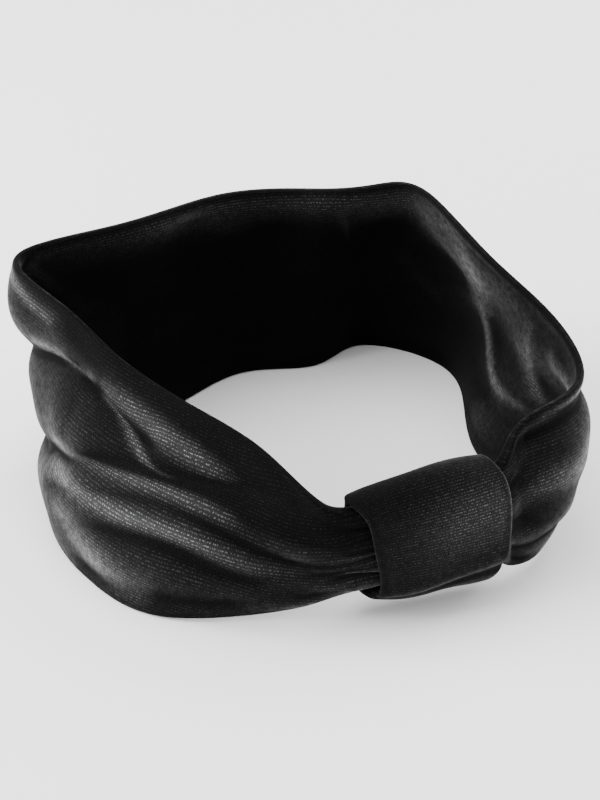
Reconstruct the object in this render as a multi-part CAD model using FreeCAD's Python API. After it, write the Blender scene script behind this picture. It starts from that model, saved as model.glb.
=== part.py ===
"""A wide velvet headband with a loop wrapped round its gathered front, in millimetres.

The band is two velvet panels, outer and lining, sewn together along both long edges. Their ends are gathered,
joined end to end, and hidden by a loop of two short strips that can shift a little along the gathered waist.
+X is to the left hand of somebody facing the loop's back, +Y runs from the loop to the nape, and +Z is up.
"""

import FreeCAD, Part
import math
import os

V = FreeCAD.Vector

# Fabric and thread
CLOTH = 1.2  # one layer of velvet, pile included
EDGE_GAP = 0.1  # half the gap between the two panels at an edge seam
MIDDLE_GAP = 0.5  # half the gap between the two panels half way up
THREAD_R = 0.25
STITCH_PITCH = 4.0
STITCH_LENGTH = 3.0

# The gathered waist under the loop, and the loop
LOOP_X = 16.0  # the loop's middle, along X
WAIST_Y = -64.0
WAIST_Z = 25.5
WAIST_HALF_HEIGHT = 17.0
WAIST_HALF_EDGE = 3.0  # half the waist's thickness at its top and bottom
WAIST_HALF_MIDDLE = 6.0  # and half way up
LOOP_LENGTH = 46.0
LOOP_TRAVEL = 3.0  # how far the loop can shift each way
LOOP_PLAY = 0.5  # between the waist and the loop's lining
STRIP_GAP = 0.2  # between the loop's two strips
LINING_LIFT = 0.5  # how far the lining's lower rim is above the outer panel's
SLIT = 0.4  # between two ends that are sewn together

WAIST_REACH = LOOP_LENGTH / 2 + LOOP_TRAVEL + 0.5  # the waist's straight part, each way from the loop's middle
WAIST_LEFT = LOOP_X - WAIST_REACH
WAIST_RIGHT = LOOP_X + WAIST_REACH
WAIST = (0.0, WAIST_HALF_EDGE, WAIST_HALF_MIDDLE)
FLAT = CLOTH + EDGE_GAP  # half the wall's thickness at an edge, where nothing is gathered
FULL = CLOTH + MIDDLE_GAP


def waist_station(x):
    """One station of the straight waist."""
    top = (x, WAIST_Y, WAIST_Z + WAIST_HALF_HEIGHT)
    bottom = (x, WAIST_Y, WAIST_Z - WAIST_HALF_HEIGHT)
    return (top, bottom, WAIST)


# Stations round the band, from the join under the loop by way of the left side, the nape and the right side.
# Each is a point of the upper edge, one of the lower edge, and (outward belly, half thickness at an edge,
# half thickness half way up).
STATIONS = [
    waist_station(LOOP_X - SLIT / 2),
    waist_station((LOOP_X + WAIST_LEFT) / 2),
    waist_station(WAIST_LEFT),
    ((-22, -56, 47), (-27, -58, 1), (5, 2.2, 3.8)),
    ((-28, -38, 50), (-50, -50, 0), (8, FLAT, 2.4)),
    ((-42, -15, 55), (-70, -36, 0), (9, FLAT, FULL)),
    ((-57, 10, 61), (-78, -8, 0), (9, FLAT, FULL)),
    ((-67, 36, 67), (-76, 22, 0), (7, FLAT, FULL)),
    ((-73, 66, 70), (-60, 54, 0), (6, FLAT, FULL)),
    ((-36, 74, 71), (-28, 66, 0), (4, FLAT, FULL)),
    ((4, 81, 72), (5, 81, 0), (4, FLAT, FULL)),
    ((36, 74, 71), (34, 80, 0), (4, FLAT, FULL)),
    ((64, 64, 72), (65, 79, 0), (4, FLAT, FULL)),
    ((71, 22, 69), (77, 42, 0), (6, FLAT, FULL)),
    ((80, -14, 63), (70, 10, 0), (9, FLAT, FULL)),
    ((77, -42, 57), (70, -25, 0), (9, FLAT, 2.4)),
    ((64, -53, 52), (63, -48, 0), (8, 1.8, 3.2)),
    ((51, -59.5, 48), (51, -60, 2), (4, 2.4, 4.6)),
    waist_station(WAIST_RIGHT),
    waist_station((LOOP_X + WAIST_RIGHT) / 2),
    waist_station(LOOP_X + SLIT / 2),
]
SECTIONS_PER_STATION = 5
WAIST_SHARES = (1.0, 0.66, 0.33)  # where the waist's sections are, from its free end
HEIGHTS = (0.0, 0.12, 0.3, 0.5, 0.7, 0.88, 1.0)  # where a section's curves are pinned, from lower to upper edge


LAST = len(STATIONS) - 1
FREE_START, FREE_END = 2, LAST - 2  # between these the band is free; outside them it is the straight waist


UPPER = [V(*s[0]) for s in STATIONS]
LOWER = [V(*s[1]) for s in STATIONS]


def slope(points, i):
    """The direction and speed of a long edge at station i. It leaves and meets the waist along X."""
    if i <= FREE_START or i >= FREE_END:
        return V(-8, 0, 0)
    return (points[i + 1] - points[i - 1]) * 0.5


def rail(points, t):
    """The point and the unit direction at station t of a smooth curve through the stations."""
    i = min(int(t), FREE_END - 1)
    u = t - i
    a, b, from_a, to_b = points[i], points[i + 1], slope(points, i), slope(points, i + 1)
    bend_a, bend_b = (b - a) * 3 - from_a * 2 - to_b, (a - b) * 2 + from_a + to_b
    point = a + from_a * u + bend_a * u * u + bend_b * u * u * u
    direction = from_a + bend_a * (2 * u) + bend_b * (3 * u * u)
    return point, direction.normalize()


def swell_at(t):
    """(outward belly, half thickness at an edge, half thickness half way up) at station t."""
    before = min(int(t), LAST - 1)
    share = t - before
    share = share * share * (3 - 2 * share)
    first, second = V(*STATIONS[before][2]), V(*STATIONS[before + 1][2])
    return first + (second - first) * share


def wall(t):
    """The free band's section at station t: (lower edge, upper edge, outward direction)."""
    low, low_direction = rail(LOWER, t)
    high, high_direction = rail(UPPER, t)
    along = low_direction + high_direction
    along.z = 0
    up = (high - low).normalize()
    return low, high, up.cross(along).normalize()


def belly(v):
    """How much of the full outward belly there is at height v."""
    return math.sin(math.pi * v)


def fullness(v):
    """0 at the edges and 1 half way up, for the wall's thickness."""
    return 1 - abs(2 * v - 1) ** 3


def face_line(t, offset, lift):
    """Points up one face of the wall at station t. offset gives the face's distance from the wall's middle."""
    low, high, out = wall(t)
    swell = swell_at(t)
    points = [low + (high - low) * v + out * (swell.x * belly(v) + offset(v, swell)) for v in HEIGHTS]
    points[0].z = low.z + lift  # the rim is level, so the band stands on it
    return points


def face_grid(offset, lift):
    """Lines of points up one face of the whole wall: the left waist, the free band, then the right waist."""
    reach = WAIST_REACH - SLIT / 2
    start, end = face_line(FREE_START, offset, lift), face_line(FREE_END, offset, lift)
    steps = (FREE_END - FREE_START) * SECTIONS_PER_STATION
    grid = [[p + V(reach * share, 0, 0) for p in start] for share in WAIST_SHARES]
    grid += [face_line(FREE_START + i / SECTIONS_PER_STATION, offset, lift) for i in range(steps + 1)]
    grid += [[p - V(reach * share, 0, 0) for p in end] for share in reversed(WAIST_SHARES)]
    return grid


def skin(v, swell):
    """The wall's outer face, from its middle."""
    return swell.y + (swell.z - swell.y) * fullness(v)


def gap(v, swell):
    """The inside of the hollow between the panels. It closes where the cloth is gathered."""
    open_share = max(0.0, min(1.0, (WAIST_HALF_MIDDLE - swell.z) / (WAIST_HALF_MIDDLE - FULL)))
    return EDGE_GAP + (MIDDLE_GAP - EDGE_GAP) * fullness(v) * open_share


def smooth_surface(grid):
    """A smooth surface drawn to a grid of points, and straight where they are straight."""
    mults = [[4] + [1] * (count - 4) + [4] for count in (len(grid), len(grid[0]))]
    knots = [[float(i) for i in range(len(m))] for m in mults]
    surface = Part.BSplineSurface()
    surface.buildFromPolesMultsKnots(grid, mults[0], mults[1], knots[0], knots[1], False, False, 3, 3)
    return surface


def panel(side):
    """The outer panel (side 1) or the lining (side -1): its two faces, closed by strips along all four edges."""
    lift = 0 if side > 0 else LINING_LIFT
    far = smooth_surface(face_grid(lambda v, swell: side * skin(v, swell), lift))
    near = smooth_surface(face_grid(lambda v, swell: side * gap(v, swell), lift))
    u0, u1, v0, v1 = far.bounds()
    edges = [(s.uIso(u0), s.uIso(u1), s.vIso(v0), s.vIso(v1)) for s in (far, near)]
    strips = [Part.makeRuledSurface(a.toShape(), b.toShape()) for a, b in zip(*edges)]
    shell = Part.makeShell([far.toShape(), near.toShape()] + strips)
    shell.sewShape()
    solid = Part.makeSolid(shell)
    if solid.Volume < 0:
        solid.reverse()
    return solid


def thread(middle, direction, length):
    """One stitch: a short round thread."""
    direction = V(direction).normalize()
    return Part.makeCylinder(THREAD_R, length, middle - direction * (length / 2), direction)


def edge_stitches(edge, height):
    """Stitches along one long edge of the band, sunk between its panels at one height share of its wall."""
    stitches = []
    steps = 100 * (FREE_END - FREE_START)
    travelled, last = 0.0, rail(edge, FREE_START)[0]
    for i in range(1, steps):
        t = FREE_START + i / 100
        point, direction = rail(edge, t)
        travelled += (point - last).Length
        last = point
        if travelled >= STITCH_PITCH:
            travelled -= STITCH_PITCH
            low, high, out = wall(t)
            spot = low + (high - low) * height + out * (swell_at(t).x * belly(height))
            stitches.append(thread(spot, direction, STITCH_LENGTH))
    return stitches


def gather_stitches(x):
    """Ties through the gathered waist at one place along X."""
    spots = [WAIST_Z + WAIST_HALF_HEIGHT * share for share in (-0.75, -0.45, -0.15, 0.15, 0.45, 0.75)]
    return [thread(V(x, WAIST_Y, z), V(0, 1, 0), 2 * WAIST_HALF_EDGE) for z in spots]


def join_stitches():
    """Stitches across the slit where the band's two ends meet, through both panels."""
    spots = [WAIST_Z + WAIST_HALF_HEIGHT * share for share in (-0.8, -0.6, -0.4, -0.2, 0, 0.2, 0.4, 0.6, 0.8)]
    return [
        thread(V(LOOP_X, WAIST_Y + side * WAIST_HALF_EDGE * 0.6, z), V(1, 0, 0), 4.0)
        for z in spots
        for side in (-1, 1)
    ]


def stadium(inset):
    """The loop's section, a wire in the YZ plane, this far outside the waist's own stadium."""
    radius = WAIST_HALF_MIDDLE + inset
    rise = WAIST_HALF_HEIGHT + 0.8 - WAIST_HALF_MIDDLE
    x = LOOP_X - LOOP_LENGTH / 2
    low, high = WAIST_Z - rise, WAIST_Z + rise
    front, back = WAIST_Y - radius, WAIST_Y + radius
    return Part.Wire(
        [
            Part.makeLine(V(x, front, low), V(x, front, high)),
            Part.Arc(V(x, front, high), V(x, WAIST_Y, high + radius), V(x, back, high)).toShape(),
            Part.makeLine(V(x, back, high), V(x, back, low)),
            Part.Arc(V(x, back, low), V(x, WAIST_Y, low - radius), V(x, front, low)).toShape(),
        ]
    )


def strip(inset):
    """One strip of the loop: a stadium sleeve, slit at the back where its ends are sewn together."""
    outer = Part.Face(stadium(inset + CLOTH))
    inner = Part.Face(stadium(inset))
    sleeve = outer.cut(inner).extrude(V(LOOP_LENGTH, 0, 0))
    slit = Part.makeBox(LOOP_LENGTH + 2, 20, SLIT, V(LOOP_X - LOOP_LENGTH / 2 - 1, WAIST_Y + 1, WAIST_Z - SLIT / 2))
    return sleeve.cut(slit)


def loop_edge_stitches(x):
    """Stitches between the loop's two strips, round one of its edges."""
    path = stadium(LOOP_PLAY + CLOTH + STRIP_GAP / 2)
    count = int(path.Length / STITCH_PITCH)
    points = path.discretize(Number=count + 1)[:-1]
    shift = V(x - (LOOP_X - LOOP_LENGTH / 2), 0, 0)
    stitches = []
    for i, point in enumerate(points):
        ahead = points[(i + 1) % count] - points[i - 1]
        stitches.append(thread(point + shift, ahead, STITCH_LENGTH))
    return stitches


def closing_stitches():
    """Upright stitches across the slit at the back of the loop, through both strips."""
    y = WAIST_Y + WAIST_HALF_MIDDLE + LOOP_PLAY + CLOTH + STRIP_GAP / 2
    count = int((LOOP_LENGTH - 6) / STITCH_PITCH)
    xs = [LOOP_X + (i - (count - 1) / 2) * STITCH_PITCH for i in range(count)]
    return [thread(V(x, y, WAIST_Z), V(0, 0, 1), STITCH_LENGTH) for x in xs]


def main():
    edge_inset = 2.0
    parts = {
        "band_outer_panel": panel(1),
        "band_lining_panel": panel(-1),
        "upper_seam_stitches": Part.makeCompound(edge_stitches(UPPER, 0.98)),
        "lower_seam_stitches": Part.makeCompound(edge_stitches(LOWER, 0.03)),
        "left_gather_stitches": Part.makeCompound(gather_stitches(LOOP_X - edge_inset * 2)),
        "right_gather_stitches": Part.makeCompound(gather_stitches(LOOP_X + edge_inset * 2)),
        "end_join_stitches": Part.makeCompound(join_stitches()),
        "loop_lining_strip": strip(LOOP_PLAY),
        "loop_outer_strip": strip(LOOP_PLAY + CLOTH + STRIP_GAP),
        "loop_left_stitches": Part.makeCompound(loop_edge_stitches(LOOP_X - LOOP_LENGTH / 2 + edge_inset)),
        "loop_right_stitches": Part.makeCompound(loop_edge_stitches(LOOP_X + LOOP_LENGTH / 2 - edge_inset)),
        "loop_closing_stitches": Part.makeCompound(closing_stitches()),
    }
    box = Part.makeCompound(list(parts.values())).optimalBoundingBox()
    to_origin = V(-(box.XMin + box.XMax) / 2, -(box.YMin + box.YMax) / 2, -box.ZMin)
    print("moved by", to_origin)
    os.makedirs("parts", exist_ok=True)
    for name, shape in parts.items():
        shape.translate(to_origin)
        print(name, "valid" if shape.isValid() else "BROKEN", len(shape.Solids), "solids")
        shape.exportStep(f"parts/{name}.step")


main()
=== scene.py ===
"""The look of a wide black velvet headband with a loop wrapped round its gathered front.

Every sheet is drawn as a grid over two numbers. On the band, t counts the stations round the ring and v goes
from the lower edge (0) to the upper edge (1). On the loop, t goes once round the waist and v along it.
Lengths are in metres. A table in millimetres says so, and its numbers are multiplied by MM where they are used.
"""

import functools
import math

import bpy
import numpy as np
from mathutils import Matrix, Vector


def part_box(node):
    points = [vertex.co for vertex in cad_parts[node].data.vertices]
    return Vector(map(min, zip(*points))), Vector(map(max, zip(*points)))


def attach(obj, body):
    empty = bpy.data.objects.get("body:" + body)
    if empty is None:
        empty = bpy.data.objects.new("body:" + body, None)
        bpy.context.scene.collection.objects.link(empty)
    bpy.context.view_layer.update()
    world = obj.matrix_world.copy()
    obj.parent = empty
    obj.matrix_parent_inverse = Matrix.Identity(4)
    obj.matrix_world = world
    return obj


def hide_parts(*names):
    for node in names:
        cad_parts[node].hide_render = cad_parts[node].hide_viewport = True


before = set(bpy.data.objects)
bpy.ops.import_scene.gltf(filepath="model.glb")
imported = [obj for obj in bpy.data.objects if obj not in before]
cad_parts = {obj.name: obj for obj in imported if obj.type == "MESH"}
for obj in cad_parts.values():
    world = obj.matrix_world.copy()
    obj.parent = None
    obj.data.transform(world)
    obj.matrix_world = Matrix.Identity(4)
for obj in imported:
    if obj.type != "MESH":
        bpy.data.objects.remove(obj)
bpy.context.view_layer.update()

MM = 0.001
TURN = 2 * math.pi
BAND_LOW, BAND_HIGH = (np.array(corner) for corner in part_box("band_outer_panel"))
BAND_SIZE = BAND_HIGH - BAND_LOW
LOOP_LOW, LOOP_HIGH = (np.array(corner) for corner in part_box("loop_outer_strip"))
LOOP_MIDDLE = (LOOP_LOW + LOOP_HIGH) / 2
LOOP_SIZE = LOOP_HIGH - LOOP_LOW

# ---------------------------------------------------------------- the band's shape

# Upper and lower edge at each station, as shares of the band's box: from the join under the loop by the left
# side, the nape and the right side back to the join. Then the outward belly half way up, in millimetres.
STATIONS = [
    ((0.590, 0.037, 0.575), (0.590, 0.037, 0.128), 0),
    ((0.438, 0.038, 0.552), (0.438, 0.038, 0.145), 0),
    ((0.372, 0.071, 0.615), (0.336, 0.071, 0.062), 3),
    ((0.324, 0.206, 0.692), (0.181, 0.128, 0.014), 9),
    ((0.234, 0.353, 0.761), (0.070, 0.222, 0.0), 11),
    ((0.145, 0.514, 0.844), (0.015, 0.398, 0.0), 11),
    ((0.085, 0.681, 0.927), (0.024, 0.591, 0.0), 8.5),
    ((0.049, 0.873, 0.968), (0.127, 0.796, 0.0), 7),
    ((0.270, 0.920, 0.982), (0.318, 0.868, 0.0), 4),
    ((0.509, 0.970, 0.990), (0.521, 0.970, 0.0), 3),
    ((0.701, 0.924, 0.982), (0.682, 0.945, 0.0), 2),
    ((0.808, 0.892, 0.996), (0.806, 0.995, 0.0), 2),
    ((0.884, 0.835, 0.990), (0.932, 0.870, 0.0), 3),
    ((0.906, 0.575, 0.950), (0.934, 0.700, 0.0), 7),
    ((0.952, 0.360, 0.871), (0.876, 0.492, 0.0), 6),
    ((0.940, 0.172, 0.800), (0.890, 0.285, 0.0), 7),
    ((0.844, 0.100, 0.775), (0.846, 0.115, 0.014), 8),
    ((0.766, 0.072, 0.720), (0.766, 0.062, 0.050), 4),
    ((0.715, 0.041, 0.595), (0.715, 0.040, 0.128), 0),
    ((0.595, 0.037, 0.575), (0.595, 0.037, 0.128), 0),
]
UPPER, LOWER, BELLY = ([station[k] for station in STATIONS] for k in range(3))
LAST = len(STATIONS) - 1
STATION_LENGTH = 27 * MM  # about how far apart two stations are
WALL_HEIGHT = 75 * MM  # about how tall the wall is

# Folds. Each has a path of (t, v, depth in mm), where a positive depth is a valley seen from outside,
# then its half width in mm and how sharp it is: 2 is ROUND, 1 is a crease.
ROUND = 2
FOLDS = [
    # left side: the two long creases that part its three lobes
    ([(7.8, 0.50, 3), (7.0, 0.58, 6), (6.4, 0.68, 6), (5.7, 0.79, 5.5), (5.0, 0.80, 5), (4.4, 0.765, 4.5),
      (3.85, 0.75, 2)], 6, 1.5),
    ([(7.6, 0.22, 2), (6.65, 0.24, 5), (5.5, 0.42, 5.5), (4.5, 0.58, 5), (3.5, 0.68, 3.4), (2.8, 0.78, 2.6),
      (2.2, 0.85, 2.0), (1.2, 0.90, 1.2)], 6, 2),
    # left side: the middle lobe is set in at the back
    ([(7.9, 0.40, 4), (7.2, 0.42, 6), (6.4, 0.47, 6), (5.6, 0.60, 3.5), (4.8, 0.68, 1)], 13, 2),
    # left side: shallow folds that run down the lowest lobe from the loop
    ([(5.8, 0.20, 1), (4.6, 0.43, 1.5), (3.6, 0.54, 1.5), (2.6, 0.50, 1.2), (1.4, 0.46, 0.8)], 4, 1.6),
    ([(5.4, 0.12, 1), (4.2, 0.33, 1.8), (3.2, 0.34, 1.8), (2.2, 0.26, 1.2)], 6, 1.8),
    ([(4.9, 0.06, 0.8), (3.6, 0.12, 1.2), (2.4, 0.12, 1)], 5, 1.8),
    # left corner at the back
    ([(7.05, 0.96, 1.5), (7.33, 0.76, 2.5), (7.5, 0.56, 1.5)], 3.5, 1.3),
    # nape: soft kinks
    ([(8.6, 1.0, -1.5), (8.7, 0.6, -1.2), (8.8, 0.2, -0.4)], 7, 2),
    ([(9.9, 1.0, 1.2), (9.9, 0.7, 1.0), (9.8, 0.35, 0.3)], 8, 2),
    # right side: two folds down the inner face from the corner at the back
    ([(12.0, 0.95, 0.8), (12.5, 0.78, 1.0), (12.9, 0.58, 1.1), (13.2, 0.42, 1.1), (13.6, 0.33, 1.0),
      (14.4, 0.36, 0.6)], 6, 1.8),
    ([(13.6, 0.95, 0.4), (13.8, 0.79, 0.8), (14.0, 0.60, 1.1), (14.4, 0.50, 0.8)], 5, 1.8),
    # right side, outside: a fold under the upper edge, and one low down
    ([(14.2, 0.80, 1), (15.0, 0.86, 2.2), (16.0, 0.88, 2.2), (17.0, 0.90, 1.5)], 4, 1.5),
    ([(17.6, 0.20, 0.8), (16.8, 0.20, 1.4), (15.9, 0.24, 1.2), (15.2, 0.32, 0.6)], 5, 1.6),
]

# Painted highlights, where the cloth is made lighter: paths of (t, v, strength) and a half width in mm.
# A strength below 0 is painted shade, where it is made darker.
PAINTED_LIGHT_FACE = [
    # left side: the ridges beside the upper crease
    ([(6.4, 0.74, 0.5), (6.0, 0.785, 0.9), (5.57, 0.80, 0.9), (5.06, 0.86, 0.9)], 2.2),
    ([(5.2, 0.845, 0.5), (4.62, 0.855, 0.9), (4.19, 0.84, 1.0), (3.67, 0.81, 1.0), (3.2, 0.78, 0.7),
      (2.6, 0.77, 0.3)], 4.5),
    ([(5.1, 0.80, 0.5), (4.69, 0.78, 1.0), (4.33, 0.715, 1.2), (4.02, 0.67, 1.2), (3.6, 0.655, 0.9)], 1.5),
    # left side: two long streaks on the lowest lobe, and a faint one below them
    ([(5.75, 0.45, 0.5), (5.2, 0.505, 0.9), (4.6, 0.54, 0.9), (4.0, 0.58, 0.9), (3.3, 0.60, 0.8),
      (2.6, 0.60, 0.3)], 2.4),
    ([(5.7, 0.36, 0.5), (5.2, 0.385, 0.9), (4.6, 0.405, 1.0), (4.0, 0.425, 1.0), (3.3, 0.44, 0.8),
      (2.62, 0.40, 0.4), (1.6, 0.33, 0.2)], 3),
    ([(5.3, 0.26, 0.3), (4.7, 0.20, 0.6), (4.2, 0.14, 0.6), (3.5, 0.09, 0.4)], 7),
    # left corner at the back
    ([(6.9, 0.97, 0.7), (6.4, 0.93, 0.9), (5.9, 0.92, 0.4)], 1.8),
    # left side: painted shade along the upper edge and along the lower crease
    ([(0.2, 0.95, -0.5), (1.2, 0.88, -0.7), (2.3, 0.86, -0.7), (3.4, 0.93, -0.6), (5.2, 0.96, -0.4),
      (6.0, 0.94, -0.3)], 9),
    ([(5.0, 0.62, -0.2), (4.2, 0.65, -0.3), (3.4, 0.68, -0.5), (2.4, 0.72, -0.6), (1.2, 0.70, -0.4),
      (0.4, 0.6, -0.2)], 6),
    # right side: half way up, and along the upper edge
    ([(15.2, 0.70, 0.1), (15.9, 0.62, 0.5), (16.6, 0.60, 0.5), (17.2, 0.55, 0.2)], 6),
    ([(14.8, 0.96, 0.5), (15.6, 0.97, 0.6), (16.4, 0.96, 0.3)], 1.5),
]
PAINTED_LIGHT_LINING = [
    # painted shade along the nape and the right side, low down
    ([(6.5, 0.35, -0.3), (8.0, 0.30, -0.5), (10.0, 0.30, -0.5), (11.4, 0.25, -0.5), (12.4, 0.10, -0.4),
      (14.0, 0.05, -0.3)], 34),
    # right side: down its folds
    ([(12.0, 0.98, 0.1), (12.6, 0.88, 0.35), (12.85, 0.70, 0.45), (13.0, 0.55, 0.45)], 4.5),
    ([(12.9, 0.62, 0.3), (13.1, 0.48, 0.6), (13.5, 0.36, 0.7), (13.9, 0.36, 0.6), (14.4, 0.43, 0.3)], 2),
    ([(13.75, 0.93, 0.2), (14.0, 0.68, 0.6), (14.2, 0.57, 0.7), (14.5, 0.52, 0.3)], 2.4),
    ([(11.4, 0.62, 0.1), (11.8, 0.45, 0.25), (12.2, 0.32, 0.25), (12.6, 0.22, 0.1)], 7),
    # nape: along the upper edge, and down its two kinks
    ([(7.0, 0.97, 0.15), (8.0, 0.95, 0.3), (9.0, 0.94, 0.3), (10.5, 0.93, 0.35), (11.6, 0.92, 0.35),
      (12.3, 0.90, 0.2)], 10),
    ([(10.2, 0.92, 0.1), (10.4, 0.78, 0.25), (10.5, 0.66, 0.1)], 2.5),
    ([(8.6, 0.97, 0.1), (8.9, 0.85, 0.2), (9.2, 0.74, 0.1)], 6),
]

FACE_HALF = 1.2 * MM  # half the band's thickness just inside an edge
BELLY_HALF = 2.2 * MM  # and half way up
WAIST_HALF = 5.1 * MM  # and half way up where it is gathered under the loop
WAIST_END, WAIST_FADE = 2.2, 1.5  # stations from the join where the waist ends, and over which it fades
CLOTH = 1.0 * MM  # thickness of one sheet
ROUNDING = 1.5 * MM  # radius of an edge that turns into the seam
GROOVE = 0.25 * MM  # half the width of the groove at the seam
MEETING = 0.4 * GROOVE  # half the gap between two sheets that lie on each other at the seam
TURNED_ROWS = np.array([0, 0.12, 0.35, 0.7, 1.15, 1.7]) * MM  # rows of the grid across a turned edge
FIRST_FLAT_ROW = 2.5 * MM  # and the first of the evenly spaced rows behind it
PILE_LEVEL = 0.2  # how open the pile stands on flat cloth
PAINTED_RIDGE_GAIN = 2 * MM  # and how much painted highlight a ridge gets, and painted shade a valley
PAINTED_RIDGE_MOST = 0.3  # the most painted highlight a ridge gets, or painted shade a valley
PILE_RANGE = 0.03, 1.5  # the least and the most that the sheen and its painted light reach
STEPS_PER_POINT = 12  # how finely a fold's path is followed
FOLD_FADE = 0.12  # the share of its path over which a fold begins and ends
FOLD_BOTTOM = 0.03  # how flat a fold is at its bottom
WRINKLE_WAVES, WRINKLE_HEIGHT = 14, 0.16  # how many waves are added up, and how high one is in mm
PLEAT_HEIGHT = 0.1 * MM
PLEATS_START, PLEATS_FADE = 0.9, 0.8  # stations from the join where the pleats begin to fade, and how fast


def spline(values, t):
    """A natural cubic spline through values at t = 0, 1, 2 and so on."""
    values = np.array(values, float)
    n = len(values)
    system = np.eye(n) * 4
    target = np.zeros_like(values)
    for i in range(1, n - 1):
        system[i, i - 1] = system[i, i + 1] = 1
        target[i] = 6 * (values[i + 1] - 2 * values[i] + values[i - 1])
    system[0, 0] = system[-1, -1] = 1
    bend = np.linalg.solve(system, target)
    i = np.clip(np.floor(t).astype(int), 0, n - 2)
    f = t - i
    if values.ndim > 1:
        f = f[:, None]
    g = 1 - f
    straight = g * values[i] + f * values[i + 1]
    return straight + ((g**3 - g) * bend[i] + (f**3 - f) * bend[i + 1]) / 6


def smoothstep(x):
    """A soft step from 0 at x = 0 to 1 at x = 1."""
    x = np.clip(x, 0, 1)
    return x * x * (3 - 2 * x)


def fold_shift(t, v, path, half_width, sharpness):
    """How far one fold moves the wall at each (t, v), in metres. Positive is inward."""
    path = np.array(path, float)
    fine = np.linspace(0, len(path) - 1, STEPS_PER_POINT * len(path))
    line = np.stack([spline(path[:, k], fine) for k in range(3)], 1)
    x, y = line[:, 0] * STATION_LENGTH, line[:, 1] * WALL_HEIGHT
    best = np.full(t.shape, np.inf)
    depth = np.zeros(t.shape)
    for k in range(len(line) - 1):
        from_x, from_y = t * STATION_LENGTH - x[k], v * WALL_HEIGHT - y[k]
        run_x, run_y = x[k + 1] - x[k], y[k + 1] - y[k]
        s = np.clip((from_x * run_x + from_y * run_y) / (run_x**2 + run_y**2 + 1e-18), 0, 1)
        away = np.hypot(from_x - s * run_x, from_y - s * run_y)
        nearer = away < best
        best = np.where(nearer, away, best)
        share = (k + s) / (len(line) - 1)
        ends = smoothstep(share / FOLD_FADE) * smoothstep((1 - share) / FOLD_FADE)
        depth = np.where(nearer, (line[k, 2] * (1 - s) + line[k + 1, 2] * s) * ends, depth)
    ratio = best / (half_width * MM)
    return depth * MM * np.exp(-((ratio**2 + FOLD_BOTTOM) ** (sharpness / 2)))


def painted_streaks(t, v, painted_light_streaks):
    """How much painted highlight (above 0) or painted shade (below 0) each (t, v) gets. A streak has the
    outline of a round fold.
    """
    return sum(fold_shift(t, v, path, half_width, ROUND) for path, half_width in painted_light_streaks) / MM


def wrinkles(t, v):
    """Small soft unevenness of the cloth, the same each time: the sum of slanting bent waves."""
    rng = np.random.default_rng(7)
    total = np.zeros(t.shape)
    for _ in range(WRINKLE_WAVES):
        angle = rng.normal(0, 0.5)
        wave = rng.uniform(18, 45) * MM
        phase = rng.uniform(0, TURN)
        along = t * STATION_LENGTH * math.sin(angle) + v * WALL_HEIGHT * math.cos(angle)
        total += np.cos(TURN * along / wave + phase + 1.3 * np.sin(t * rng.uniform(0.4, 1.1)))
    return total * WRINKLE_HEIGHT * MM


def gathers(t, v):
    """Small pleats that fan out of the loop on both sides."""
    from_loop = np.minimum(t, LAST - t) - PLEATS_START
    strength = np.exp(-np.clip(from_loop, 0, None) / PLEATS_FADE)
    wide = np.cos(TURN * (5.2 * v + 0.35 * np.sin(2.1 * t)))
    narrow = np.cos(TURN * (9.3 * v + 0.2 * t))
    return PLEAT_HEIGHT * strength * (wide + 0.5 * narrow)


def band_middle(t, v):
    """Points on the middle of the band's wall, for grids t and v."""
    stations = t[:, 0]
    upper = spline(UPPER, stations) * BAND_SIZE + BAND_LOW
    lower = spline(LOWER, stations) * BAND_SIZE + BAND_LOW
    belly = spline(BELLY, stations) * MM
    along = np.gradient((upper + lower) / 2, axis=0)
    along[:, 2] = 0
    up = upper - lower
    out = np.cross(up, along)
    out /= np.linalg.norm(out, axis=1)[:, None]
    points = lower[:, None] + up[:, None] * v[..., None]
    shift = belly[:, None] * np.sin(math.pi * v)
    for path, half_width, sharpness in FOLDS:
        shift -= fold_shift(t, v, path, half_width, sharpness)
    shift += wrinkles(t, v) * smoothstep(np.minimum(v, 1 - v) / 0.08)
    return points + out[:, None] * shift[..., None]


def normals(points):
    """Unit normals of a grid of points."""
    n = np.cross(np.gradient(points, axis=1), np.gradient(points, axis=0))
    return n / np.maximum(np.linalg.norm(n, axis=2), 1e-12)[..., None]


def edge_rows(height, count):
    """Shares of the height: close together near both edges, so that the cloth's turned edges are round."""
    near = TURNED_ROWS / height
    middle = np.linspace(FIRST_FLAT_ROW / height, 1 - FIRST_FLAT_ROW / height, count)
    return np.concatenate([near, middle, 1 - near[::-1]])


def turned(distance, half):
    """Offset of a face that is half deep and turns round into a seam at distance 0."""
    x = 1 - np.clip(distance / ROUNDING, 0, 1)
    return GROOVE + (half - GROOVE) * np.sqrt(np.clip(1 - x * x, 0, 1))


def smooth_piece(name, mesh):
    """A new object of a mesh whose faces are shaded smooth."""
    mesh.polygons.foreach_set("use_smooth", [True] * len(mesh.polygons))
    mesh.update()
    piece = bpy.data.objects.new(name, mesh)
    bpy.context.scene.collection.objects.link(piece)
    return piece


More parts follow.
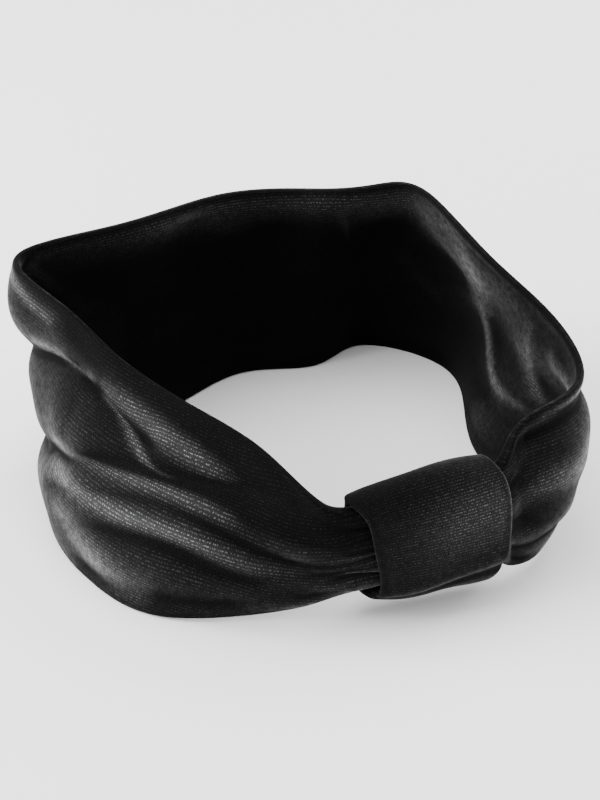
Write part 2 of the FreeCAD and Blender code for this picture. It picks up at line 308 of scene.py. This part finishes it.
def grid_mesh(name, outside, inside, uv, sheen_and_painted_light):
    """A closed thin sheet between two grids of points.

    uv is one coordinate pair for each grid point, in metres. The last argument says how strong the sheen is
    there, with painted highlight and painted shade in it.
    """
    count = uv.shape[0] * uv.shape[1]
    number = np.arange(count).reshape(uv.shape[:2])
    corners = [number[:-1, :-1], number[1:, :-1], number[1:, 1:], number[:-1, 1:]]
    front = np.stack([corner.ravel() for corner in corners], 1)
    border = np.concatenate([number[:, 0], number[-1, 1:], number[-2::-1, -1], number[0, -2:0:-1]])
    following = np.roll(border, -1)
    rim = np.stack([following, border, border + count, following + count], 1)
    faces = np.concatenate([front, front[:, ::-1] + count, rim])
    if (normals(outside) * (outside - inside)).sum() > 0:
        faces = faces[:, ::-1]
    vertices = np.concatenate([outside.reshape(-1, 3), inside.reshape(-1, 3)])
    mesh = bpy.data.meshes.new(name)
    mesh.from_pydata(vertices.tolist(), [], faces.tolist())
    layer = mesh.uv_layers.new(name="cloth")
    vertex = np.empty(len(mesh.loops), int)
    mesh.loops.foreach_get("vertex_index", vertex)
    layer.data.foreach_set("uv", uv.reshape(-1, 2)[vertex % count].ravel())
    # a layer of sheen with painted highlight and painted shade in it, which the velvet reads
    sheen_and_painted_light_layer = mesh.attributes.new("sheen_and_painted_light", "FLOAT", "POINT")
    sheen_and_painted_light_layer.data.foreach_set("value", np.concatenate([sheen_and_painted_light.ravel(), sheen_and_painted_light.ravel()]).astype(np.float32))
    return smooth_piece(name, mesh)


def blurred(values, passes):
    """values averaged with their neighbours, this many times over."""
    for _ in range(passes):
        padded = np.pad(values, 1, mode="edge")
        beside = padded[1:-1, :-2], padded[1:-1, 2:]
        values = (values * 2 + padded[:-2, 1:-1] + padded[2:, 1:-1] + beside[0] + beside[1]) / 6
    return values


def sheen_with_painted_light(points, out, distance, painted_light_streaks):
    """How strong the sheen is at each grid point, with painted light in it: painted highlight along the painted
    streaks and on ridges, painted shade in valleys and near the seams.
    """
    across = np.linalg.norm(np.gradient(points, axis=1), axis=2)
    slope = np.gradient(points, axis=1) / across[..., None]
    turn = np.gradient(slope, axis=1) / across[..., None]
    bend = blurred(-(turn * out).sum(2), 4)
    edge = smoothstep((distance - MM) / (3 * MM))
    # painted highlight on ridges and painted shade in valleys
    painted_ridge_light = np.clip(PAINTED_RIDGE_GAIN * bend * edge, -PAINTED_RIDGE_MOST, PAINTED_RIDGE_MOST)
    # the sum, darker within a few mm of the seams: painted shade that keeps the turned edges from shining
    return np.clip(PILE_LEVEL + painted_ridge_light + painted_light_streaks, *PILE_RANGE) * (0.6 + 0.4 * edge)


def travelled(line):
    """How far along a line of points each of them is."""
    return np.concatenate([[0], np.cumsum(np.linalg.norm(np.diff(line, axis=0), axis=1))])


def band_grid(steps, rows):
    """Grids t and v, with t spaced evenly along the cloth."""
    rough = np.linspace(0, LAST, 600)
    way = travelled((spline(UPPER, rough) * BAND_SIZE + spline(LOWER, rough) * BAND_SIZE) / 2)
    t = np.interp(np.linspace(0, way[-1], steps), way, rough)
    return np.meshgrid(t, rows, indexing="ij")


def cloth_uv(points):
    """Metres along and across the cloth at each grid point, counted from the middle row."""
    middle = points.shape[1] // 2
    along = travelled(points[:, middle])
    across = np.cumsum(np.linalg.norm(np.diff(points, axis=1), axis=2), axis=1)
    across = np.concatenate([np.zeros((len(points), 1)), across], axis=1)
    across -= across[:, middle][:, None]
    return np.stack([np.broadcast_to(along[:, None], across.shape), across], 2)


def make_band(fine):
    """The band's outer panel and lining, closed against each other along both seams."""
    steps, count = (420, 70) if fine else (300, 50)
    t, v = band_grid(steps, edge_rows(WALL_HEIGHT, count))
    points = band_middle(t, v)
    out = normals(points)
    distance = np.minimum(v, 1 - v) * WALL_HEIGHT
    gathered = smoothstep((WAIST_END - np.minimum(t, LAST - t)) / WAIST_FADE)
    edge_half = FACE_HALF * (1 + 0.8 * gathered)
    deep = BELLY_HALF + (WAIST_HALF - BELLY_HALF) * gathered
    half = edge_half + (deep - edge_half) * (1 - np.abs(2 * v - 1) ** 2.5)
    pleat = gathers(t, v) * smoothstep(distance / (4 * MM))
    face = turned(distance, half)
    hidden = np.maximum(face - CLOTH, MEETING)
    uv = cloth_uv(points)

    outside = points + out * (face + pleat)[..., None]
    # painted highlights and painted shade on the outside
    sheen_and_painted_light = sheen_with_painted_light(outside, out, distance, painted_streaks(t, v, PAINTED_LIGHT_FACE))
    outer = grid_mesh("band_outer", outside, points + out * (hidden + pleat)[..., None], uv, sheen_and_painted_light)

    inside = points - out * (face - pleat)[..., None]
    # painted highlights and painted shade on the inside of the ring
    sheen_and_painted_light = sheen_with_painted_light(inside, -out, distance, painted_streaks(t, v, PAINTED_LIGHT_LINING))
    lining = grid_mesh("band_lining", points - out * (hidden - pleat)[..., None], inside, uv, sheen_and_painted_light)
    return outer, lining, points


# ---------------------------------------------------------------- the loop's shape

# Round the loop from its closing seam at the back, over the top, down the front and under: the left end, the
# right end (shares of the loop's length), then where the strip runs (shares of its depth, -1 at the front and
# 1 at the back, and of its height, -1 to 1), and how much higher the right end is than the left, in mm.
LOOP_ROUND = [
    (0.02, 0.97, 0.96, 0.005, 0),
    (0.00, 0.96, 0.96, 0.42, 1.5),
    (-0.02, 0.94, 0.70, 0.80, 4),
    (-0.05, 0.93, 0.05, 1.00, 5),
    (0.02, 0.99, -0.68, 0.84, 5),
    (0.07, 1.04, -0.96, 0.50, 3),
    (0.10, 1.05, -1.04, 0.05, 1),
    (0.14, 1.03, -1.00, -0.45, 0),
    (0.13, 0.97, -0.72, -0.82, -1),
    (0.08, 0.93, 0.00, -0.98, -2),
    (0.04, 0.95, 0.72, -0.84, 0),
    (0.01, 0.97, 0.97, -0.50, 0),
    (0.02, 0.97, 0.96, -0.005, 0),
]
LOOP_CLOTH = 0.95 * MM  # thickness of one strip


def bell(x, width):
    """A round bump at x = 0, 1 high."""
    return np.exp(-((x / width) ** 2))


def loop_points(t, v, inset):
    """Points of the loop at grids t (round) and v (along), inset metres inside its outer face."""
    rounds = spline(LOOP_ROUND, t[:, 0])
    left, right, depth, height, tilt = (rounds[:, k][:, None] for k in range(5))
    x = LOOP_LOW[0] + (left + (right - left) * v) * LOOP_SIZE[0]
    y = LOOP_MIDDLE[1] + depth * LOOP_SIZE[1] / 2
    z = LOOP_MIDDLE[2] + height * LOOP_SIZE[2] / 2 + tilt * MM * (v - 0.4)
    points = np.stack([x, np.broadcast_to(y, x.shape), z], 2)
    out = -normals(points)
    puff = 0.9 * MM * (1 - np.abs(2 * v - 1) ** 4) - 0.6 * MM
    rng = np.random.default_rng(11)
    for _ in range(8):
        wave, phase = rng.uniform(0.7, 1.8), rng.uniform(0, 6.28)
        puff = puff + 0.11 * MM * np.cos(TURN * (wave * v + rng.uniform(-0.12, 0.12) * t) + phase)
    past_crease = t - (8.1 - 0.8 * v)  # the crease slants along the lower front
    puff = puff - 0.7 * MM * bell(past_crease, 0.2) + 0.5 * MM * bell(past_crease + 0.45, 0.35)
    return points + out * (puff - inset)[..., None]


def loop_painted_light(t, v):
    """Painted light on the loop: painted highlight on the front towards its right end, and painted shade on
    top.
    """
    front = bell(t - 5.0 - 0.8 * (1 - v), 1.3)
    top = bell(t - 3, 1.0)
    return front * (0.05 + 0.6 * smoothstep(v * 1.3)) - 0.14 * top * (1.2 - v)


def make_loop(fine):
    """The loop's outer strip and its lining."""
    around, count = (200, 40) if fine else (130, 26)
    round_loop = np.linspace(0, len(LOOP_ROUND) - 1, around)
    t, v = np.meshgrid(round_loop, edge_rows(LOOP_SIZE[0], count), indexing="ij")
    distance = np.minimum(v, 1 - v) * LOOP_SIZE[0]
    sink = FACE_HALF - turned(distance, FACE_HALF)
    outside = loop_points(t, v, sink)
    inside = loop_points(t, v, np.minimum(sink + LOOP_CLOTH, FACE_HALF - MEETING))
    uv = cloth_uv(outside)[..., ::-1]
    # painted highlight and painted shade on the loop, shared by its lining
    sheen_and_painted_light = sheen_with_painted_light(outside, -normals(outside), distance, loop_painted_light(t, v))
    outer = grid_mesh("loop_outer", outside, inside, uv, sheen_and_painted_light)
    near = loop_points(t, v, np.maximum(2 * FACE_HALF - sink - LOOP_CLOTH, FACE_HALF + MEETING))
    far = loop_points(t, v, 2 * FACE_HALF - sink)
    lining = grid_mesh("loop_lining", near, far, uv, sheen_and_painted_light)
    return outer, lining, loop_points(t, v, FACE_HALF)


# ---------------------------------------------------------------- thread

THREAD_R = 0.22 * MM
STITCH = 2.6 * MM  # length of a stitch in a row
ROW_PITCH = 4 * MM  # and how far apart two of them are
SIDES = 8
# A stitch's outline: shares of half its length and of its radius. Its two ends are points.
STITCH_OUTLINE = [(-0.93, 0.7), (-0.8, 1.0), (0.8, 1.0), (0.93, 0.7)]


def threads(name, places):
    """Short round stitches as one piece. places is a list of (middle, direction, length)."""
    vertices, faces = [], []
    for middle, direction, length in places:
        axis = Vector(direction).normalized()
        side = axis.orthogonal().normalized()
        other = axis.cross(side)
        start = len(vertices)
        vertices.append(Vector(middle) - axis * (length / 2))
        for share, radius in STITCH_OUTLINE:
            for k in range(SIDES):
                ring = side * math.cos(TURN * k / SIDES) + other * math.sin(TURN * k / SIDES)
                vertices.append(Vector(middle) + axis * (share * length / 2) + ring * (radius * THREAD_R))
        vertices.append(Vector(middle) + axis * (length / 2))
        last = len(vertices) - 1
        rings = [start + 1 + r * SIDES for r in range(len(STITCH_OUTLINE))]
        for k in range(SIDES):
            n = (k + 1) % SIDES
            faces.append((start, rings[0] + n, rings[0] + k))
            for a, b in zip(rings, rings[1:]):
                faces.append((a + k, a + n, b + n, b + k))
            faces.append((rings[-1] + k, rings[-1] + n, last))
    mesh = bpy.data.meshes.new(name)
    mesh.from_pydata([tuple(p) for p in vertices], [], faces)
    return smooth_piece(name, mesh)


def row_stitches(points, column):
    """Stitch places along one row of a grid of points."""
    line = points[:, column]
    way = travelled(line)

    def at(distance):
        return np.array([np.interp(distance, way, line[:, k]) for k in range(3)])

    places = []
    for middle in np.arange(ROW_PITCH, way[-1] - ROW_PITCH, ROW_PITCH):
        here, ahead = at(middle - ROW_PITCH / 4), at(middle + ROW_PITCH / 4)
        places.append(((here + ahead) / 2, ahead - here, STITCH))
    return places


def box_stitches(name, across, spots):
    """Stitches that stand in the box of a CAD node, spots of them in a column, each across the whole box."""
    low, high = (np.array(corner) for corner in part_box(name))
    middle = (low + high) / 2
    heights = np.linspace(low[2] + THREAD_R, high[2] - THREAD_R, spots)
    length = (high - low)[across]
    return [(np.array([middle[0], middle[1], z]), np.eye(3)[across], length) for z in heights]


def closing_stitches():
    """Upright stitches in a row along the loop's closing seam, in the box of the CAD node."""
    low, high = (np.array(corner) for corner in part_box("loop_closing_stitches"))
    middle = (low + high) / 2
    spots = np.arange(low[0] + THREAD_R, high[0], ROW_PITCH)
    return [(np.array([x, middle[1], middle[2]]), (0, 0, 1), high[2] - low[2]) for x in spots]


# ---------------------------------------------------------------- materials

RIB_PITCH = 1.0 * MM  # from one knit row to the next
DASH = 0.42 * MM  # about how long the dashes are that a row is broken into
RIB_WOBBLE = 2.4  # how far a row wanders, where a whole pitch is TURN
RIB_SHARE = 0.5  # how much of the sheen the rows take
SHEEN = 0.8
BUMP_DEPTH = 0.05 * MM
# the velvet's own black, and the grey that painted highlights and painted glints lift its base colour to
VELVET_BLACK = (0.0008, 0.0008, 0.0009, 1)
PAINTED_HIGHLIGHT_COLOUR = (0.15, 0.15, 0.154, 1)


def node(tree, kind, **settings):
    """One new shader node. A setting is a property of the node, or the value of an input with that name."""
    made = tree.nodes.new(kind)
    for key, value in settings.items():
        if key in made.bl_rna.properties:
            setattr(made, key, value)
        else:
            made.inputs[key.replace("_", " ")].default_value = value
    return made


def maths(tree, operation, *values):
    """A math node, joined to the sockets and set to the numbers in values."""
    made = tree.nodes.new("ShaderNodeMath")
    made.operation = operation
    for socket, value in zip(made.inputs, values):
        if isinstance(value, bpy.types.NodeSocket):
            tree.links.new(value, socket)
        else:
            socket.default_value = value
    return made.outputs[0]


def noise(tree, place, scale, detail, roughness=0.5):
    """The grey value of a noise texture."""
    made = node(tree, "ShaderNodeTexNoise", Scale=scale, Detail=detail, Roughness=roughness)
    tree.links.new(place, made.inputs["Vector"])
    return made.outputs[0]


def scaled(tree, place, scale):
    """A place multiplied by a scale on each axis."""
    made = node(tree, "ShaderNodeMapping", Scale=scale)
    tree.links.new(place, made.inputs["Vector"])
    return made.outputs[0]


def mixed(tree, share, one, two):
    """A colour between one, where share is 0, and two, where it is 1."""
    made = node(tree, "ShaderNodeMix", data_type="RGBA")
    made.inputs[6].default_value, made.inputs[7].default_value = one, two
    tree.links.new(share, made.inputs[0])
    return made.outputs[2]


def bumped(tree, height, strength, distance, shader):
    """Gives a shader the bump of a height."""
    made = node(tree, "ShaderNodeBump", Strength=strength, Distance=distance)
    tree.links.new(height, made.inputs["Height"])
    tree.links.new(made.outputs[0], shader.inputs["Normal"])


def new_material(name):
    """A new material, its node tree and its shader."""
    material = bpy.data.materials.new(name)
    material.use_nodes = True
    tree = material.node_tree
    return material, tree, tree.nodes["Principled BSDF"]


def velvet(name, painted_glint_floor):
    """Black stretch velvet with painted sheen, glints and shade. The last argument is how strongly the painted
    glints of its knit rows show where there is little painted light.
    """
    material, tree, shader = new_material(name)
    shader.inputs["Specular IOR Level"].default_value = 0.03
    shader.inputs["Sheen Roughness"].default_value = 0.39
    add, subtract, multiply = (functools.partial(maths, tree, kind) for kind in ("ADD", "SUBTRACT", "MULTIPLY"))
    place = node(tree, "ShaderNodeUVMap", uv_map="cloth").outputs[0]
    parts = node(tree, "ShaderNodeSeparateXYZ")
    tree.links.new(place, parts.inputs[0])
    across = parts.outputs[1]

    # the knit rows, broken into dashes
    drift = multiply(subtract(noise(tree, place, 160.0, 2.0), 0.5), RIB_WOBBLE)
    turns = add(multiply(across, TURN / RIB_PITCH), drift)
    row = add(multiply(maths(tree, "SINE", turns), 0.5), 0.5)
    dash = noise(tree, scaled(tree, place, (1 / DASH, 1.7 / RIB_PITCH, 1.0)), 1.0, 1.0)
    speck = multiply(subtract(dash, 0.5), 7.0)
    speck = maths(tree, "MINIMUM", maths(tree, "MAXIMUM", speck, 0.0), 1.0)
    glint = multiply(maths(tree, "POWER", row, 3.0), speck)

    # the sheen with its painted highlight and painted shade, worn in patches and parted into tufts
    sheen_and_painted_light_layer = node(tree, "ShaderNodeAttribute", attribute_name="sheen_and_painted_light").outputs["Fac"]
    patches = noise(tree, scaled(tree, place, (0.45, 1.3, 1.0)), 38.0, 4.0, 0.6)
    worn = add(multiply(patches, 1.1), 0.45)
    fuzz = noise(tree, place, 420.0, 4.0, 0.7)
    tufts = maths(tree, "MAXIMUM", subtract(multiply(fuzz, 3.4), 0.75), 0.15)
    grain = noise(tree, place, 2600.0, 3.0)

    # painted sheen: the sheen's weight follows the painted light and the knit dashes
    painted_sheen = add(multiply(glint, RIB_SHARE), 1 - RIB_SHARE * 0.5)
    painted_sheen = multiply(multiply(painted_sheen, worn), multiply(sheen_and_painted_light_layer, tufts))
    tree.links.new(multiply(painted_sheen, SHEEN), shader.inputs["Sheen Weight"])
    # painted glints and painted highlights in the base colour: the knit dashes, showing more where the painted
    # light is strong
    painted_glints = multiply(add(multiply(glint, 0.92), 0.08), worn)
    painted_glint_share = add(multiply(sheen_and_painted_light_layer, sheen_and_painted_light_layer), painted_glint_floor)
    tree.links.new(mixed(tree, multiply(painted_glints, painted_glint_share), VELVET_BLACK, PAINTED_HIGHLIGHT_COLOUR), shader.inputs["Base Color"])
    tree.links.new(add(multiply(grain, 0.25), 0.62), shader.inputs["Roughness"])
    bumped(tree, add(multiply(glint, 0.5), multiply(grain, 0.9)), 0.8, BUMP_DEPTH, shader)
    return material


def thread_material():
    """Matte black spun thread."""
    material, tree, shader = new_material("thread")
    shader.inputs["Roughness"].default_value = 0.75
    shader.inputs["Sheen Weight"].default_value = 0.05
    place = node(tree, "ShaderNodeTexCoord").outputs["Object"]
    twist = noise(tree, place, 3000.0, 2.0)
    dark, light = (0.006, 0.006, 0.007, 1), (0.018, 0.018, 0.019, 1)
    tree.links.new(mixed(tree, twist, dark, light), shader.inputs["Base Color"])
    bumped(tree, twist, 0.6, 0.05 * MM, shader)
    return material


# ---------------------------------------------------------------- camera, light and floor

AZIMUTH, ELEVATION = math.radians(-20), math.radians(32)
DISTANCE = 760 * MM
AIM = BAND_LOW + BAND_SIZE * np.array([0.485, 0.45, 0.526])
LIGHT_SIZE = 0.8
FLOOR_REACH = 6.0


def aimed(thing, place):
    """Puts a camera or a light at a place, looking at AIM."""
    thing.location = place
    thing.rotation_mode = "QUATERNION"
    thing.rotation_quaternion = (Vector(AIM) - thing.location).to_track_quat("-Z", "Y")
    bpy.context.scene.collection.objects.link(thing)


def make_camera():
    """A camera that looks down on the loop from its left."""
    back = Vector((
        math.sin(AZIMUTH) * math.cos(ELEVATION),
        -math.cos(AZIMUTH) * math.cos(ELEVATION),
        math.sin(ELEVATION),
    ))
    data = bpy.data.cameras.new("camera")
    data.lens, data.sensor_width = 108, 36
    data.clip_start, data.clip_end = 0.01, 20
    camera = bpy.data.objects.new("camera", data)
    aimed(camera, Vector(AIM) + back * DISTANCE)
    bpy.context.scene.camera = camera


def area_light(name, place, power):
    """A soft square light that looks at the middle of the object."""
    data = bpy.data.lights.new(name, "AREA")
    data.energy, data.size = power, LIGHT_SIZE
    aimed(bpy.data.objects.new(name, data), Vector(place))


def make_stage():
    """A pale floor, a pale sky and soft lights."""
    mesh = bpy.data.meshes.new("floor")
    corners = [(x * FLOOR_REACH, y * FLOOR_REACH, 0) for x, y in ((-1, -1), (1, -1), (1, 1), (-1, 1))]
    mesh.from_pydata(corners, [], [(0, 1, 2, 3)])
    floor = bpy.data.objects.new("floor", mesh)
    bpy.context.scene.collection.objects.link(floor)
    pale, _, surface = new_material("floor")
    surface.inputs["Base Color"].default_value = (0.97, 0.97, 0.97, 1)
    surface.inputs["Roughness"].default_value = 0.9
    mesh.materials.append(pale)
    world = bpy.data.worlds.new("sky")
    world.use_nodes = True
    sky = world.node_tree.nodes["Background"]
    sky.inputs["Color"].default_value = (1, 1, 1, 1)
    sky.inputs["Strength"].default_value = 1.25
    bpy.context.scene.world = world
    area_light("key", (-0.9, 0.25, 0.55), 26)
    area_light("fill", (0.9, 0.35, 0.6), 14)
    area_light("top", (-0.1, 0.3, 1.2), 8)


# ---------------------------------------------------------------- the whole

def main():
    """Makes every piece, hangs it on the body it rides on, hides the CAD node that it stands in for, and sets
    the stage.
    """
    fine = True
    make_camera()
    band_outer, band_lining, wall = make_band(fine)
    loop_outer, loop_lining, loop_seam = make_loop(fine)
    # the last number is how strongly painted glints show where the painted light is low; the linings get less,
    # painted shade on the inside
    sheets = [
        (band_outer, "band", "band_outer_panel", "velvet_face", 0.06),
        (band_lining, "band", "band_lining_panel", "velvet_lining", 0.02),
        (loop_outer, "loop", "loop_outer_strip", "velvet_loop", 0.06),
        (loop_lining, "loop", "loop_lining_strip", "velvet_loop_lining", 0.02),
    ]
    for piece, body, name, slot, painted_glint_floor in sheets:
        piece.data.materials.append(velvet(slot, painted_glint_floor))
        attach(piece, body)
        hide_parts(name)
    stitches = [
        ("upper_seam", "band", "upper_seam_stitches", row_stitches(wall, -5)),
        ("lower_seam", "band", "lower_seam_stitches", row_stitches(wall, 4)),
        ("left_gather", "band", "left_gather_stitches", box_stitches("left_gather_stitches", 1, 6)),
        ("right_gather", "band", "right_gather_stitches", box_stitches("right_gather_stitches", 1, 6)),
        ("end_join", "band", "end_join_stitches", box_stitches("end_join_stitches", 0, 9)),
        ("loop_left_seam", "loop", "loop_left_stitches", row_stitches(loop_seam, 3)),
        ("loop_right_seam", "loop", "loop_right_stitches", row_stitches(loop_seam, -4)),
        ("loop_closing_seam", "loop", "loop_closing_stitches", closing_stitches()),
    ]
    thread = thread_material()
    seams = {}
    for label, body, name, places in stitches:
        piece = seams[label] = threads(label, places)
        piece.data.materials.append(thread)
        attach(piece, body)
        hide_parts(name)
    make_stage()


main()
